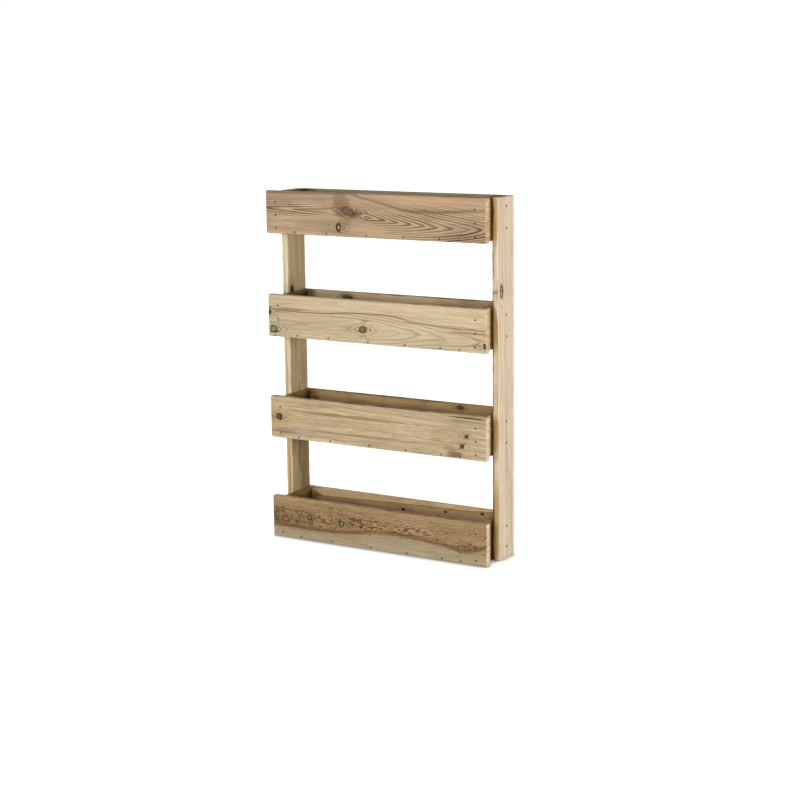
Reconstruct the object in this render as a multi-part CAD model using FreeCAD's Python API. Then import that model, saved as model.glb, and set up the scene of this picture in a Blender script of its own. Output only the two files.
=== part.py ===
import FreeCAD, Part
import os

# Vertical planter: open troughs one above the other between two posts.
# Every piece is a planed softwood board, and nails hold the boards together.
# Lengths are in millimetres. The origin is on the ground under the middle of the planter,
# +Z is up, +X is to the right seen from the front, and +Y points to the back.

# Whole planter
tier_count = 4
total_height = 1200.0
frame_width = 846.0

# Posts, flat boards with their broad faces to the sides, that end a little below the top front board
post_thickness = 24.0
post_depth = 109.0
post_drop = 4.0

# Trough walls
wall_height = 145.0
front_thickness = 24.0
back_thickness = 24.0
end_thickness = 24.0
front_overhang = 2.0
end_drop = 3.0

# Trough floor, whose width is also the inside depth of the trough
floor_width = 145.0
floor_thickness = 24.0
drain_hole_diameter = 10.0
drain_hole_shares = (0.125, 0.375, 0.625, 0.875)

# Rounding of the planed edges along every board
edge_radius = 3.0

# Nails, with places as shares of the board's height, length or thickness
nail_head_diameter = 5.0
nail_head_thickness = 1.2
nail_shank_diameter = 2.5
nail_point_length = 4.0
nail_tip_share = 0.2
wall_nail_length = 55.0
post_nail_bite_share = 0.8
end_nail_share = 0.4
front_nail_height_shares = (0.13, 0.44, 0.74)
back_nail_height_shares = (0.15, 0.50, 0.87)
post_nail_height_shares = (0.27, 0.76)
floor_nail_shares = (0.09, 0.26, 0.47, 0.66, 0.84, 0.935)
floor_nail_height_share = 0.35

# How far a cutting tool runs past the face that it cuts
cut_overrun = 1.0

# Sizes and places worked out from the driving dimensions
tier_pitch = (total_height - wall_height) / (tier_count - 1)
post_height = total_height - post_drop
trough_depth = front_thickness + floor_width + back_thickness
rear_y = trough_depth / 2
front_y = -rear_y
inner_front_y = front_y + front_thickness
inner_rear_y = rear_y - back_thickness
post_front_y = rear_y - post_depth
post_middle_y = rear_y - post_depth / 2
post_outer_x = frame_width / 2
post_inner_x = post_outer_x - post_thickness
end_inner_x = post_inner_x - end_thickness
end_nail_x = end_inner_x + end_nail_share * end_thickness
front_end_x = post_outer_x + front_overhang
floor_length = 2 * end_inner_x
post_nail_length = post_thickness + post_nail_bite_share * end_thickness

# Directions, and the two sides of the planter
to_right = FreeCAD.Vector(1, 0, 0)
to_back = FreeCAD.Vector(0, 1, 0)
upward = FreeCAD.Vector(0, 0, 1)
sides = {"left": -1, "right": 1}


def runs_along(edge, direction):
    """Tell whether a straight edge lies along a direction."""
    first, last = [vertex.Point for vertex in edge.Vertexes]
    return (last - first).cross(direction).Length < Part.Precision.confusion()


def board(low, high, grain):
    """Make a board between two opposite corners, rounded along the edges that follow its grain."""
    size = high - low
    blank = Part.makeBox(size.x, size.y, size.z, low)
    long_edges = [edge for edge in blank.Edges if runs_along(edge, grain)]
    return blank.makeFillet(edge_radius, long_edges)


def nail(place, inward, length):
    """Drive a nail: the flat of its head is flush at place and its point lies inward."""
    shank_radius = nail_shank_diameter / 2
    tip_radius = nail_tip_share * shank_radius
    shoulder = length - nail_point_length
    head = Part.makeCylinder(nail_head_diameter / 2, nail_head_thickness)
    shank = Part.makeCylinder(shank_radius, shoulder)
    point = Part.makeCone(shank_radius, tip_radius, nail_point_length, upward * shoulder)
    driven = head.fuse([shank, point]).removeSplitter().Solids[0]
    driven.Placement = FreeCAD.Placement(place, FreeCAD.Rotation(upward, inward))
    return driven


def along_floor(shares):
    """Turn shares of the floor board's length into places across the planter."""
    return [-end_inner_x + share * floor_length for share in shares]


def front_nails(base, side):
    """Nails through the front board into one end board's grain."""
    heights = [base + share * wall_height for share in front_nail_height_shares]
    places = [FreeCAD.Vector(side * end_nail_x, front_y, height) for height in heights]
    return [nail(place, to_back, wall_nail_length) for place in places]


def back_nails(base, side):
    """Nails through the back board into one end board's grain."""
    heights = [base + share * wall_height for share in back_nail_height_shares]
    places = [FreeCAD.Vector(side * end_nail_x, rear_y, height) for height in heights]
    return [nail(place, -to_back, wall_nail_length) for place in places]


def floor_nails(base, face_y, inward):
    """Nails through the front or back board into the edge of the floor board."""
    height = base + floor_nail_height_share * floor_thickness
    places = [FreeCAD.Vector(x, face_y, height) for x in along_floor(floor_nail_shares)]
    return [nail(place, inward, wall_nail_length) for place in places]


def post_nails(base, side):
    """Nails through one post into the end board beside it."""
    heights = [base + share * wall_height for share in post_nail_height_shares]
    places = [FreeCAD.Vector(side * post_outer_x, post_middle_y, height) for height in heights]
    return [nail(place, -side * to_right, post_nail_length) for place in places]


def front_board(base):
    """Front wall, which reaches a little past both posts."""
    low = FreeCAD.Vector(-front_end_x, front_y, base)
    high = FreeCAD.Vector(front_end_x, inner_front_y, base + wall_height)
    return board(low, high, to_right)


def back_board(base):
    """Back wall between the posts, flush with their rear edges and no higher than they are."""
    top = min(base + wall_height, post_height)
    low = FreeCAD.Vector(-post_inner_x, inner_rear_y, base)
    high = FreeCAD.Vector(post_inner_x, rear_y, top)
    return board(low, high, to_right)


def end_board(base, side):
    """End wall between the front and back boards, flat against a post's inner face."""
    top = min(base + wall_height - end_drop, post_height)
    near_x, far_x = sorted((side * end_inner_x, side * post_inner_x))
    low = FreeCAD.Vector(near_x, inner_front_y, base)
    high = FreeCAD.Vector(far_x, inner_rear_y, top)
    return board(low, high, to_back)


def drain_hole(base, x):
    """Tool for one drain hole on the floor board's centre line."""
    start = FreeCAD.Vector(x, (inner_front_y + inner_rear_y) / 2, base - cut_overrun)
    return Part.makeCylinder(drain_hole_diameter / 2, floor_thickness + 2 * cut_overrun, start)


def floor_board(base):
    """Floor between the four walls, with drain holes."""
    low = FreeCAD.Vector(-end_inner_x, inner_front_y, base)
    high = FreeCAD.Vector(end_inner_x, inner_rear_y, base + floor_thickness)
    holes = [drain_hole(base, x) for x in along_floor(drain_hole_shares)]
    return board(low, high, to_right).cut(holes)


def post(side):
    """Upright board that carries one end of every trough."""
    near_x, far_x = sorted((side * post_inner_x, side * post_outer_x))
    low = FreeCAD.Vector(near_x, post_front_y, 0)
    high = FreeCAD.Vector(far_x, rear_y, post_height)
    return board(low, high, upward)


def trough(base):
    """Make one trough's boards, each with the holes that its nails fill, and its nails."""
    front = {name: front_nails(base, side) for name, side in sides.items()}
    back = {name: back_nails(base, side) for name, side in sides.items()}
    posts = {name: post_nails(base, side) for name, side in sides.items()}
    floor_front = floor_nails(base, front_y, to_back)
    floor_back = floor_nails(base, rear_y, -to_back)
    pieces = {}
    pieces["front_board"] = front_board(base).cut(front["left"] + front["right"] + floor_front)
    pieces["back_board"] = back_board(base).cut(back["left"] + back["right"] + floor_back)
    for name, side in sides.items():
        pieces[name + "_end_board"] = end_board(base, side).cut(front[name] + back[name] + posts[name])
    pieces["floor_board"] = floor_board(base).cut(floor_front + floor_back)
    walls = front["left"] + front["right"] + back["left"] + back["right"]
    pieces["wall_nails"] = Part.makeCompound(walls)
    pieces["floor_nails"] = Part.makeCompound(floor_front + floor_back)
    pieces["post_nails"] = Part.makeCompound(posts["left"] + posts["right"])
    return pieces


def planter():
    """Make every piece of the planter, by name. Tier 1 is the lowest trough."""
    bases = [tier * tier_pitch for tier in range(tier_count)]
    pieces = {}
    for name, side in sides.items():
        holes = [hole for base in bases for hole in post_nails(base, side)]
        pieces[name + "_post"] = post(side).cut(holes)
    for tier, base in enumerate(bases, start=1):
        for name, shape in trough(base).items():
            pieces["tier_%d_%s" % (tier, name)] = shape
    return pieces


os.makedirs("parts", exist_ok=True)
for name, shape in planter().items():
    shape.exportStep("parts/%s.step" % name)
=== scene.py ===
import math
from collections import namedtuple

import bpy
from mathutils import Matrix, Vector


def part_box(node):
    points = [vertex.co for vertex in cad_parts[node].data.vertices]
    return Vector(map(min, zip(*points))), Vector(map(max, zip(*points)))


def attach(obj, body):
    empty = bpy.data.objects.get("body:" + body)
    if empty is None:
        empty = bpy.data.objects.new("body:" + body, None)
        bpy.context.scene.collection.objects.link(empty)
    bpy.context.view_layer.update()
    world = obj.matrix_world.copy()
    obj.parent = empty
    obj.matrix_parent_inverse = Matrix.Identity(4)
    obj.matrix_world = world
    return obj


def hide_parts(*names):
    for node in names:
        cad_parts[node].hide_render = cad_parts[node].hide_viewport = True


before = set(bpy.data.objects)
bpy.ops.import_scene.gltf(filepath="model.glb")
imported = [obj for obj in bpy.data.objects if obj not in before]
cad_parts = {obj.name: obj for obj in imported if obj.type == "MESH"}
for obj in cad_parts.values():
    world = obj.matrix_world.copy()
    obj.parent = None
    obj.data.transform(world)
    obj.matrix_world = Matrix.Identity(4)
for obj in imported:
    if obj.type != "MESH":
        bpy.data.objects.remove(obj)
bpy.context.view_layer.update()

mm = 0.001
tiers = (1, 2, 3, 4)
sides = {"left": -1, "right": 1}

# Planed boards: rounding, rows of faces, unevenness, and the gap that shows between end boards and posts
arris_radius = 5.0 * mm
sawn_end_radius = 3.6 * mm
arris_spread = (0.6, 1.4)
most_rounding_share = 0.95
row_spacing = 6.0 * mm
row_spacing_through = 4.0 * mm
edge_rows = 4
edge_zone_share = 1.35
surface_wave = 0.4 * mm
board_bow = 0.6 * mm
post_gap = 2.6 * mm

# Wane on the upper edge of a front board, by tier: place from the middle, half length and depth.
# Then how much of it is left where it is least, and where it sets in on the way up and to the front.
wanes = {2: (0.345, 0.12, 9.0 * mm)}
no_wane = (0.0, 0.01, 0.0)
wane_least = 0.1
wane_upwards = (0.2, 0.9)
wane_forwards = (-0.6, 0.4)

# Nails, with places as shares of the wall height and of the floor board's length, as in the solids
nail_stand = 0.2 * mm
nail_tilt = math.radians(4)
nail_sides = 14
wall_nail_length = 55.0 * mm
post_nail_bite_share = 0.8
front_nail_height_shares = (0.13, 0.44, 0.74)
back_nail_height_shares = (0.15, 0.50, 0.87)
post_nail_height_shares = (0.27, 0.76)
floor_nail_shares = (0.09, 0.26, 0.47, 0.66, 0.84, 0.935)

# A nail's sizes as shares of its head's diameter
head_thickness_share = 0.24
shank_radius_share = 0.25
nail_point_share = 0.8

# A nail's profile: depth and radius of the head as shares of its own, then where the neck ends, and the tip
nail_head_profile = ((0.0, 0.60), (0.12, 0.92), (0.35, 1.0), (0.85, 1.0))
nail_neck_share = 1.3
nail_tip_share = 0.2

# Growth rings: where in a ring the late wood is darkest and where it starts to end, how weak it is in the
# poorest year, in its faintest stretch and far from the pith, how far that is against the bold reach, and
# the slopes between which an arch turns into its flank, with the least depth that a slope is taken at
late_wood_peak = 0.85
late_wood_fall = 0.92
poorest_year = 0.35
faintest_stretch = 0.6
far_strength = 0.3
far_share = 1.8
flank_slopes = (0.8, 2.5)
least_depth = 1.0 * mm

# Grain round a knot: how far along the board it is pushed aside, how much, and where the rings swell
knot_sweep = 2.4
knot_push = 0.9
swell_reach = (0.8, 3.4)

# Rings round a knot, drawn out along the grain to a point at both ends
eye_length_share = 2.6
eye_power = 1.25
eye_raggedness = 0.5
eye_wave = 7.5
eye_line_start = 0.2
eye_reach = (1.2, 3.2)
eye_strength = 0.65
eye_faintest = 0.3

# Colours of a knot, by the distance from its centre as a share of its radius
halo_start = 0.9
heart_edge = (0.72, 1.2)
heart_blotches = 0.4
rim_start = 0.90
rim_edge = (0.98, 1.20)
rim_strength = 0.95
rim_whole_level = 0.6

# Drying splits that cross a knot, with their reach as a share of its radius
split_width = 2.4 * mm
split_reach = 3.6

# Patterns of noise: fineness in steps a metre along, across and through the board, detail, the levels between
# which a pattern goes from none to all, a step in the seed that sets a board's patterns apart, and roughness
Pattern = namedtuple("Pattern", "fineness detail levels seed_step rough", defaults=((0.0, 1.0), 0.0, 0.5))
patterns = {
    "knot edge": Pattern((110, 150, 20), 3.0),
    "trunk drift": Pattern((3.2, 1, 1), 1.0),
    "ring shake": Pattern((7, 22, 22), 1.0),
    "ring curl": Pattern((30, 90, 90), 1.0),
    "ring fade": Pattern((4, 16, 16), 2.0, (0.35, 0.65), 2.0),
    "ring bands": Pattern((85, 1, 1), 2.0, (0.3, 0.7)),
    "streaks": Pattern((2.0, 120, 120), 4.0, (0.30, 0.70), rough=0.68),
    "threads": Pattern((14, 300, 300), 3.0, (0.30, 0.70), rough=0.65),
    "flecks": Pattern((70, 260, 260), 1.0, (0.62, 0.72), 1.0),
    "cracks": Pattern((3.5, 95, 95), 1.0, seed_step=5.0),
    "crack places": Pattern((5, 26, 26), 1.0, (0.56, 0.68), 9.0),
    "arris wear": Pattern((40, 120, 120), 3.0, (0.3, 0.7)),
    "green": Pattern((5, 13, 13), 3.0, (0.42, 0.72), rough=0.6),
    "dirt": Pattern((11, 38, 38), 4.0, (0.46, 0.76), 3.0, rough=0.65),
    "patch edge": Pattern((16, 70, 20), 3.0, (0.3, 0.7)),
    "border": Pattern((24, 1, 1), 3.0, (0.25, 0.75)),
    "blotches": Pattern((70, 70, 20), 1.0, (0.40, 0.60)),
    "rust": Pattern((260, 260, 260), 4.0, (0.38, 0.60), rough=0.65),
    "dents": Pattern((900, 900, 900), 2.0),
    "arris radius": Pattern((26, 5, 7), 2.0, (0.25, 0.75)),
    "torn wane": Pattern((45, 20, 20), 3.0, (0.38, 0.62)),
    "surface wave": Pattern((6, 22, 40), 2.0, (0.25, 0.75), 7.0),
}
border_seed = 3.0
rust_seed = 2.0
dent_seed = 3.0

# What each marking multiplies the colour of the wood by
tints = {
    "bands": (0.80, 0.76, 0.72, 1.0),
    "streaks": (0.62, 0.58, 0.52, 1.0),
    "threads": (0.60, 0.56, 0.50, 1.0),
    "flecks": (0.40, 0.34, 0.27, 1.0),
    "green": (0.80, 0.88, 0.74, 1.0),
    "dirt": (0.64, 0.60, 0.55, 1.0),
    "cracks": (0.24, 0.18, 0.13, 1.0),
    "sawn dirt": (0.70, 0.62, 0.54, 1.0),
    "sawn blotches": (0.66, 0.58, 0.48, 1.0),
    "nail stain and hole shade": (0.20, 0.15, 0.11, 1.0),
}

# Size and strength of the markings that are the same on every board
crack_thinness = 0.012
arris_wear = (1.0 * mm, 4.0 * mm)
end_grain_edge = (-0.4 * mm, 1.2 * mm)
border_edge = (-1.0 * mm, 1.5 * mm)
patch_edge = (0.45, 1.15)
patch_raggedness = 0.35
band_strength = 0.30
sawn_ring_strength = 0.6
sawn_dirt_strength = 0.8
sawn_blotch_strength = 0.6
nail_mark_strength = 0.88
nail_mark_core = 2.5 * mm
farthest_nail = 1.0

# Surface of the wood: its sheen, and how far each marking stands out or lies deep
wood_specular = 0.08
wood_roughness = 0.74
late_wood_gloss = 0.10
thread_roughness = 0.10
late_wood_height = 0.6
thread_height = 0.5
crack_depth = 1.6
nail_mark_depth = 2.5
wood_bump = 0.5
wood_bump_height = 0.3 * mm

# Steel of the nails, clean and then rusty, both darkened as painted shade of sunk heads
steel_shades = ((58, 50, 44), (44, 32, 24))
steel_metallic = (0.35, 0.05)
steel_roughness = (0.5, 0.8)
dent_strength = 0.4
dent_height = 0.2 * mm

# The photograph's camera: place, direction in degrees and focal length in pixels of its 800 pixel frame
camera_place = (3.2361, -5.1624, 1.6514)
camera_yaw = 31.761
camera_pitch = 10.687
camera_roll = -0.668
focal_pixels = 1841.8
frame_pixels = 800
sensor_width_mm = 36.0
farthest_seen = 100.0

# Studio: the floor's size and tone, how much of its white is its own, and where that white takes over
floor_half = 14.0
floor_tone = (0.82, 0.82, 0.82, 1.0)
floor_roughness = 0.9
floor_glow = 1.25
floor_white_share = 0.90
floor_white_start = 0.6
floor_white_end = 1.5
floor_shade_reach = 0.05
floor_shade_samples = 16
floor_shade = 0.25
floor_shade_start = 0.3
sky_light = 0.15
lit_height = 0.6


# Node helpers

MIX_FACTOR, MIX_FIRST, MIX_SECOND, MIX_RESULT = 0, 6, 7, 2
SOCKETS = {
    "value": "NodeSocketFloat",
    "count": "NodeSocketInt",
    "vector": "NodeSocketVector",
    "geometry": "NodeSocketGeometry",
    "material": "NodeSocketMaterial",
}


class Flow:
    """What comes out of a node. Plain sums with it add the nodes that do them."""

    def __init__(self, socket):
        self.socket = socket
        self.tree = socket.id_data
        self.is_vector = socket.type in ("VECTOR", "RGBA")

    def __add__(self, other):
        return calc("ADD", self, other)

    def __sub__(self, other):
        return calc("SUBTRACT", self, other)

    def __rsub__(self, other):
        return calc("SUBTRACT", other, self)

    def __mul__(self, other):
        return calc("MULTIPLY", self, other)

    def __truediv__(self, other):
        return calc("DIVIDE", self, other)

    def __rtruediv__(self, other):
        return calc("DIVIDE", other, self)

    def __pow__(self, power):
        return calc("POWER", self, power)

    def __abs__(self):
        return calc("ABSOLUTE", self)


def feed(socket, value):
    """Link a socket to a flow, or set it to a constant."""
    if isinstance(value, Flow):
        value.tree.links.new(value.socket, socket)
    else:
        socket.default_value = value


def add_node(tree, kind, inputs=None, **options):
    """Add a node, set its options, then feed its inputs by name or number."""
    node = tree.nodes.new(kind)
    for option, value in options.items():
        setattr(node, option, value)
    for key, value in (inputs or {}).items():
        feed(node.inputs[key], value)
    return node


def flow(tree, kind, inputs=None, output=0, **options):
    """Add a node and give one of its outputs."""
    return Flow(add_node(tree, kind, inputs, **options).outputs[output])


def tree_of(values):
    """The node tree that the flows among some values are in."""
    return next(value.tree for value in values if isinstance(value, Flow))


def has_parts(value):
    """Whether a flow or a constant is a vector."""
    return value.is_vector if isinstance(value, Flow) else isinstance(value, (tuple, Vector))


def calc(operation, *values):
    """One sum, on vectors if its first value is a vector."""
    tree = tree_of(values)
    inputs = dict(enumerate(values))
    if not has_parts(values[0]):
        return flow(tree, "ShaderNodeMath", inputs, operation=operation)
    if operation == "MULTIPLY" and not has_parts(values[1]):
        inputs = {0: values[0], "Scale": values[1]}
        operation = "SCALE"
    return flow(tree, "ShaderNodeVectorMath", inputs, operation=operation)


def least(first, second):
    """The smaller of two values, or of two vectors part by part."""
    return calc("MINIMUM", first, second)


def most(first, second):
    """The larger of two values, or of two vectors part by part."""
    return calc("MAXIMUM", first, second)


def length(vector):
    """Length of a vector."""
    return flow(vector.tree, "ShaderNodeVectorMath", {0: vector}, "Value", operation="LENGTH")


def parts(vector):
    """The three values in a vector."""
    return [Flow(socket) for socket in add_node(vector.tree, "ShaderNodeSeparateXYZ", {0: vector}).outputs]


def joined(x, y, z):
    """A vector of three values."""
    return flow(tree_of((x, y, z)), "ShaderNodeCombineXYZ", {0: x, 1: y, 2: z})


def ramp(value, low, high, first=0.0, last=1.0, smooth=True):
    """Go from first to last as the value goes from low to high."""
    inputs = {"Value": value, "From Min": low, "From Max": high, "To Min": first, "To Max": last}
    shape = "SMOOTHSTEP" if smooth else "LINEAR"
    return flow(value.tree, "ShaderNodeMapRange", inputs, "Result", interpolation_type=shape, clamp=True)


def noise(place, name, seed, output="Fac"):
    """A pattern of noise as it comes."""
    own = patterns[name]
    if own.seed_step:
        seed = seed + own.seed_step
    inputs = {"Vector": place * own.fineness, "W": seed, "Scale": 1.0,
              "Detail": own.detail, "Roughness": own.rough}
    return flow(place.tree, "ShaderNodeTexNoise", inputs, output, noise_dimensions="4D")


def pattern(place, name, seed, first=0.0, last=1.0, smooth=True):
    """A pattern of noise that goes from first to last between its levels."""
    return ramp(noise(place, name, seed), *patterns[name].levels, first, last, smooth)


def mixed(factor, first, second, mode="MIX"):
    """Blend two colours."""
    inputs = {MIX_FACTOR: factor, MIX_FIRST: first, MIX_SECOND: second}
    return flow(factor.tree, "ShaderNodeMix", inputs, MIX_RESULT, data_type="RGBA", blend_type=mode)


def tinted(colour, amount, strength, tint):
    """Darken a colour by a tint, as far as an amount from 0 to 1 says."""
    return mixed(amount * strength, colour, tint, "MULTIPLY")


def new_group(name, kind, inputs, outputs):
    """Start a node group with sockets listed by type, and return it with what it is given by name."""
    tree = bpy.data.node_groups.new(name, kind)
    for way, lists in (("INPUT", inputs), ("OUTPUT", outputs)):
        for socket, labels in lists.items():
            for label in labels.split(", "):
                tree.interface.new_socket(label, in_out=way, socket_type=SOCKETS[socket])
    given = tree.nodes.new("NodeGroupInput").outputs
    return tree, {socket.name: Flow(socket) for socket in given}


def give(tree, results):
    """End a node group with its results by name."""
    ends = tree.nodes.new("NodeGroupOutput").inputs
    for label, value in results.items():
        feed(ends[label], value)
    return tree


def use_group(group, inputs):
    """Place a node group in the tree of its inputs, and return what it gives by name."""
    kind = group.bl_idname.replace("Tree", "Group")
    node = add_node(tree_of(inputs.values()), kind, inputs, node_tree=group)
    return {socket.name: Flow(socket) for socket in node.outputs}


def paint(red, green, blue):
    """A colour as seen on a screen, from 0 to 255, as the linear colour that a shader takes."""
    def linear(level):
        level = level / 255
        return level / 12.92 if level <= 0.04045 else ((level + 0.055) / 1.055) ** 2.4
    return (linear(red), linear(green), linear(blue), 1.0)


# Shader groups that every board shares

def make_knot_group():
    """A branch that ran through the board: the grain flows round it and the rings swell towards it."""
    tree, given = new_group(
        "knot", "ShaderNodeTree",
        dict(vector="Place, Centre", value="Radius, Oval, Tilt, Ragged, Swell, Seed"),
        dict(vector="Place", value="Ratio, Eye, Split, Swell"))
    place, radius, oval = given["Place"], given["Radius"], given["Oval"]
    away = place - given["Centre"]
    turned = {"Vector": away, "Angle": given["Tilt"]}
    along, across, _ = parts(flow(tree, "ShaderNodeVectorRotate", turned, rotation_type="Z_AXIS"))
    rough = (noise(place, "knot edge", given["Seed"]) - 0.5) * given["Ragged"]
    ratio = length(joined(along / oval, across, 0.0)) / radius + rough
    level_along, level_across, _ = parts(away)
    reach = length(joined(level_along / (oval * knot_sweep), level_across, 0.0))
    reach = most(reach / radius, 1.0)
    shift = level_across * (knot_push / (reach * reach))
    eye_length = radius * eye_length_share
    eye = (abs(level_along) / eye_length) ** eye_power + (abs(level_across) / radius) ** eye_power
    split = ramp(least(abs(along), abs(across)), 0.0, split_width, 1.0, 0.0)
    swell = ramp(ratio, *swell_reach, 1.0, 0.0) * radius
    return give(tree, {
        "Place": place - joined(0.0, shift, 0.0),
        "Ratio": ratio,
        "Eye": eye ** (1.0 / eye_power) + rough * eye_raggedness,
        "Split": split * ramp(ratio, 1.0, split_reach, 1.0, 0.0),
        "Swell": given["Swell"] + swell})


def make_ring_group():
    """Growth rings of the trunk that the board was sawn from, with dark late wood at each ring's end."""
    tree, given = new_group(
        "growth_rings", "ShaderNodeTree",
        dict(vector="Place, Pith, Lean, Lean Before, Bend",
             value="Wander, Ripple, Curl, Power, Ring Width, Late Start, Bold Reach, Flank, Swell, Seed"),
        dict(value="Late Wood, Band"))
    place, seed = given["Place"], given["Seed"]
    along = parts(place)[0]
    run = along - parts(given["Pith"])[0]
    ahead = most(run, 0.0)
    before = given["Lean Before"] * least(run, 0.0)
    after = given["Lean"] * ahead + given["Bend"] * (ahead * ahead)
    drift = noise(joined(along, 0.0, 0.0), "trunk drift", seed, "Color") - (0.5, 0.5, 0.5)
    axis = given["Pith"] + before + after + drift * given["Wander"]
    sideways, inward = [abs(part) for part in parts(place - axis)[1:]]
    power = given["Power"]
    radius = (sideways ** power + inward ** power) ** (1.0 / power)
    coarse = noise(place, "ring shake", seed) - 0.5
    fine = noise(place, "ring curl", seed) - 0.5
    age = radius + given["Swell"] + (coarse + fine * given["Curl"]) * given["Ripple"]
    count = age / given["Ring Width"]
    season = calc("FRACT", count)
    late = ramp(season, given["Late Start"], late_wood_peak) * ramp(season, late_wood_fall, 1.0, 1.0, 0.0)
    year = {"W": calc("FLOOR", count) + seed}
    weather = flow(tree, "ShaderNodeTexWhiteNoise", year, "Value", noise_dimensions="1D")
    bold = given["Bold Reach"]
    steep = sideways / most(inward, least_depth)
    late = late * ramp(weather, 0.0, 1.0, poorest_year, 1.0, smooth=False)
    late = late * pattern(place, "ring fade", seed, faintest_stretch, 1.0)
    late = late * ramp(age, bold, bold * far_share, 1.0, far_strength)
    late = late * ramp(steep, *flank_slopes, 1.0, given["Flank"])
    return give(tree, {"Late Wood": late, "Band": pattern(joined(age, 0.0, 0.0), "ring bands", seed)})


def make_fibre_group():
    """Fibres along the grain: broad streaks, fine threads, short flecks and a few dark drying cracks."""
    tree, given = new_group(
        "fibres", "ShaderNodeTree", dict(vector="Place", value="Seed"),
        dict(value="Streak, Thread, Fleck, Crack"))
    place, seed = given["Place"], given["Seed"]
    thin = ramp(abs(noise(place, "cracks", seed) - 0.5), 0.0, crack_thinness, 1.0, 0.0)
    return give(tree, {
        "Streak": pattern(place, "streaks", seed, smooth=False),
        "Thread": pattern(place, "threads", seed, smooth=False),
        "Fleck": pattern(place, "flecks", seed),
        "Crack": thin * pattern(place, "crack places", seed)})


def make_edge_group():
    """How near a spot is to the board's arrises and sawn ends."""
    tree, given = new_group(
        "board_edges", "ShaderNodeTree", dict(vector="Place, Half Size", value="Seed"),
        dict(value="Arris, End Grain"))
    along, across, through = parts(given["Half Size"] - abs(given["Place"]))
    flank = least(across, through)
    nearest = least(along, flank)
    second = least(most(along, flank), most(across, through))
    width = pattern(given["Place"], "arris wear", given["Seed"], *arris_wear, smooth=False)
    return give(tree, {
        "Arris": ramp(second - nearest, 0.0, width, 1.0, 0.0),
        "End Grain": ramp(flank - along, *end_grain_edge)})


def make_stain_group():
    """Uneven green of the preservative and grey-brown dirt."""
    tree, given = new_group(
        "weather_stain", "ShaderNodeTree", dict(vector="Place", value="Seed"), dict(value="Green, Dirt"))
    place, seed = given["Place"], given["Seed"]
    return give(tree, {"Green": pattern(place, "green", seed), "Dirt": pattern(place, "dirt", seed)})


def make_patch_group():
    """A soft-edged patch of another shade, a little ragged along the grain."""
    tree, given = new_group(
        "shade_patch", "ShaderNodeTree", dict(vector="Place, Centre, Reach", value="Seed"),
        dict(value="Amount"))
    place, seed = given["Place"], given["Seed"]
    span = length((place - given["Centre"]) / given["Reach"])
    rough = pattern(place, "patch edge", seed, -patch_raggedness, patch_raggedness, smooth=False)
    return give(tree, {"Amount": ramp(span + rough, *patch_edge, 1.0, 0.0)})


def make_nail_group():
    """Distance to the nearest nail so far."""
    tree, given = new_group(
        "nearest_nail", "ShaderNodeTree", dict(vector="Place, Nail", value="Nearest"), dict(value="Nearest"))
    return give(tree, {"Nearest": least(given["Nearest"], length(given["Place"] - given["Nail"]))})


knot_group = make_knot_group()
ring_group = make_ring_group()
fibre_group = make_fibre_group()
edge_group = make_edge_group()
stain_group = make_stain_group()
patch_group = make_patch_group()
nail_group = make_nail_group()


# The boards: where each one lies, how it was sawn and what it shows

along_x, along_y, along_z = Vector((1, 0, 0)), Vector((0, 1, 0)), Vector((0, 0, 1))
lies = {
    "wall": (along_x, along_z),
    "end": (along_y, along_z),
    "floor": (along_x, along_y),
    "post": (along_z, -along_y),
}


class Board:
    """A board's centre, half sizes and turn, from its solid's box and the way that its grain runs."""

    def __init__(self, node, lie):
        low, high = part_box(node)
        grain, width = lies[lie]
        depth = grain.cross(width)
        self.node = node
        self.centre = (low + high) / 2
        self.half = Vector(abs((high - low).dot(axis)) / 2 for axis in (grain, width, depth))
        self.turn = Matrix((grain, width, depth)).transposed()

    def place(self, along, up, depth=0.0):
        """A place given in millimetres from the starting end, the lower edge and the middle of the board."""
        return Vector((along * mm - self.half.x, up * mm - self.half.y, depth * mm))

    def inside(self, point):
        """A point of the planter in the board's own directions."""
        return self.turn.transposed() @ (Vector(point) - self.centre)

    def plane_off(self, depth):
        """Take a shaving off the face that looks to the planter's side."""
        side = math.copysign(1.0, self.centre.x)
        self.half.z -= depth / 2
        self.centre.x -= side * depth / 2


# A knot's finish: colours of its heart, its rim and the halo round it, the halo's strength and reach, the
# rim's width, how broken and how ragged it is, and the strength of splits across the knot.
Finish = namedtuple("Finish", "heart rim halo halo_strength halo_reach rim_width broken ragged split",
                    defaults=(0.9, 0.0))
knot_finishes = {
    "brown": Finish(paint(120, 104, 82), paint(78, 64, 47), paint(186, 158, 120), 0.40, 2.2, 0.19, 0.3),
    "grey": Finish(paint(114, 95, 74), paint(76, 61, 47), paint(142, 106, 78), 0.65, 2.8, 0.10, 1.0,
                   ragged=1.7),
    "green": Finish(paint(136, 132, 100), paint(46, 46, 34), paint(150, 134, 98), 0.40, 1.8, 0.17, 0.3),
    "split": Finish(paint(104, 100, 74), paint(58, 56, 38), paint(160, 142, 102), 0.45, 2.0, 0.20, 0.3,
                    split=0.8),
    "dark": Finish(paint(98, 86, 68), paint(54, 44, 33), paint(170, 138, 96), 0.45, 2.0, 0.22, 0.4),
    "black": Finish(paint(48, 40, 30), paint(30, 25, 18), paint(110, 90, 64), 0.50, 2.0, 0.22, 0.4),
    "worn": Finish(paint(156, 138, 106), paint(64, 53, 38), paint(196, 172, 136), 0.45, 1.7, 0.26, 0.3),
    "shadow": Finish(paint(104, 84, 62), paint(70, 56, 42), paint(130, 106, 78), 0.70, 2.8, 0.30, 0.7),
    "resin": Finish(paint(188, 154, 114), paint(46, 34, 26), paint(150, 118, 82), 0.45, 1.7, 0.36, 0.15),
}

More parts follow.
